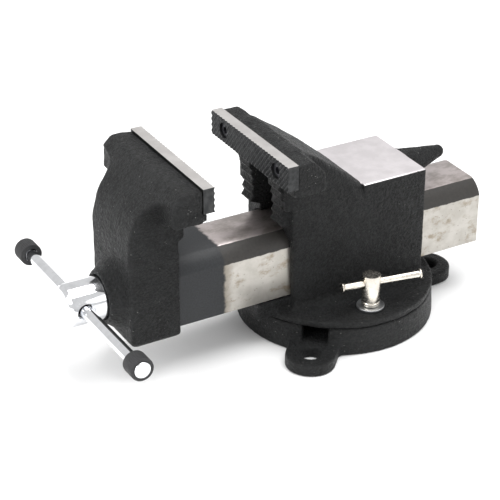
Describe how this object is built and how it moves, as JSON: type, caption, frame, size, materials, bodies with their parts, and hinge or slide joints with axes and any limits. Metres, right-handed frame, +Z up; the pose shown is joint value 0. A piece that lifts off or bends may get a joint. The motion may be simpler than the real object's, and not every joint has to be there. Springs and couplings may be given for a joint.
{
  "type": "bench vise",
  "caption": "Swivel-base bench vise with a screw-driven sliding jaw, toothed jaw plates, pipe jaws, anvil with horn and a lockable round base.",
  "frame": {"origin": "swivel axis at the underside of the base, where it stands on the bench", "axes": "+Z up; -Y towards the turning handle along the main screw, +Y towards the anvil and horn; X across the jaws"},
  "size_m": [0.2702, 0.4535, 0.213],
  "materials": {
    "cast_body": "rough black paint on cast iron, ground bare on the anvil",
    "cast_jaw": "rough black paint on cast iron, slide ground bare",
    "cast_base": "rough black paint on cast iron",
    "plate_steel": "ground steel, cross-hatched on the gripping face",
    "black_steel": "blackened steel",
    "chrome": "polished",
    "nickel": "warm satin plating",
    "zinc": "zinc plated, satin",
    "rubber": "matt black, finely ribbed",
    "spring_steel": "drawn wire",
    "nut_iron": "bare machined iron, oiled"
  },
  "bodies": {
    "base": {"swivel_base": "cast_base", "pivot_bolt": "black_steel", "pivot_washer": "zinc"},
    "body": {"vise_body": "cast_body", "fixed_jaw_plate": "plate_steel", "fixed_plate_screw_near": "black_steel", "fixed_plate_screw_far": "black_steel", "spindle_nut": "nut_iron", "nut_bolt": "black_steel", "lock_washer_near": "zinc", "lock_washer_far": "zinc", "lock_nut_near": "black_steel", "lock_nut_far": "black_steel"},
    "jaw": {"movable_jaw": "cast_jaw", "movable_jaw_plate": "plate_steel", "movable_plate_screw_near": "black_steel", "movable_plate_screw_far": "black_steel"},
    "screw": {"spindle": "chrome", "thrust_washer": "zinc", "collar": "black_steel", "collar_pin": "zinc", "spring": "spring_steel"},
    "handle": {"handle_bar": "chrome", "handle_knob_near": "chrome", "handle_knob_far": "chrome", "handle_bumper_near": "rubber", "handle_bumper_far": "rubber"},
    "lock_near": {"lock_bolt_near": "nickel"},
    "lock_far": {"lock_bolt_far": "nickel"},
    "tbar_near": {"lock_tbar_near": "nickel"},
    "tbar_far": {"lock_tbar_far": "nickel"}
  },
  "joints": [
    {"name": "swivel", "type": "hinge", "parent": "base", "child": "body", "pos_m": [0, 0, 0.029], "axis": [0, 0, 1], "continuous": true},
    {"name": "jaw_slide", "type": "slide", "parent": "body", "child": "jaw", "axis": [0, 1, 0], "range_m": [-0.0739, 0.0756]},
    {"name": "screw_turn", "type": "hinge", "parent": "jaw", "child": "screw", "pos_m": [0, -0.25, 0.084], "axis": [0, 1, 0], "range_deg": [-4440, 4542]},
    {"name": "handle_slide", "type": "slide", "parent": "screw", "child": "handle", "axis": [0.9997, 0, 0.0262], "range_m": [-0.099, 0.089]},
    {"name": "lock_turn_near", "type": "hinge", "parent": "body", "child": "lock_near", "pos_m": [0.0755, -0.005, 0.04], "axis": [0, 0, 1], "range_deg": [-30, 25]},
    {"name": "lock_turn_far", "type": "hinge", "parent": "body", "child": "lock_far", "pos_m": [-0.0755, -0.005, 0.04], "axis": [0, 0, 1], "range_deg": [-25, 30]},
    {"name": "tbar_slide_near", "type": "slide", "parent": "lock_near", "child": "tbar_near", "axis": [-0.1668, -0.986, 0], "range_m": [-0.018, 0.03]},
    {"name": "tbar_slide_far", "type": "slide", "parent": "lock_far", "child": "tbar_far", "axis": [-0.1668, 0.986, 0], "range_m": [-0.03, 0.018]}
  ],
  "couplings": [
    {"joint": "screw_turn", "follows": "jaw_slide", "rad_per_m": 1047.2}
  ]
}
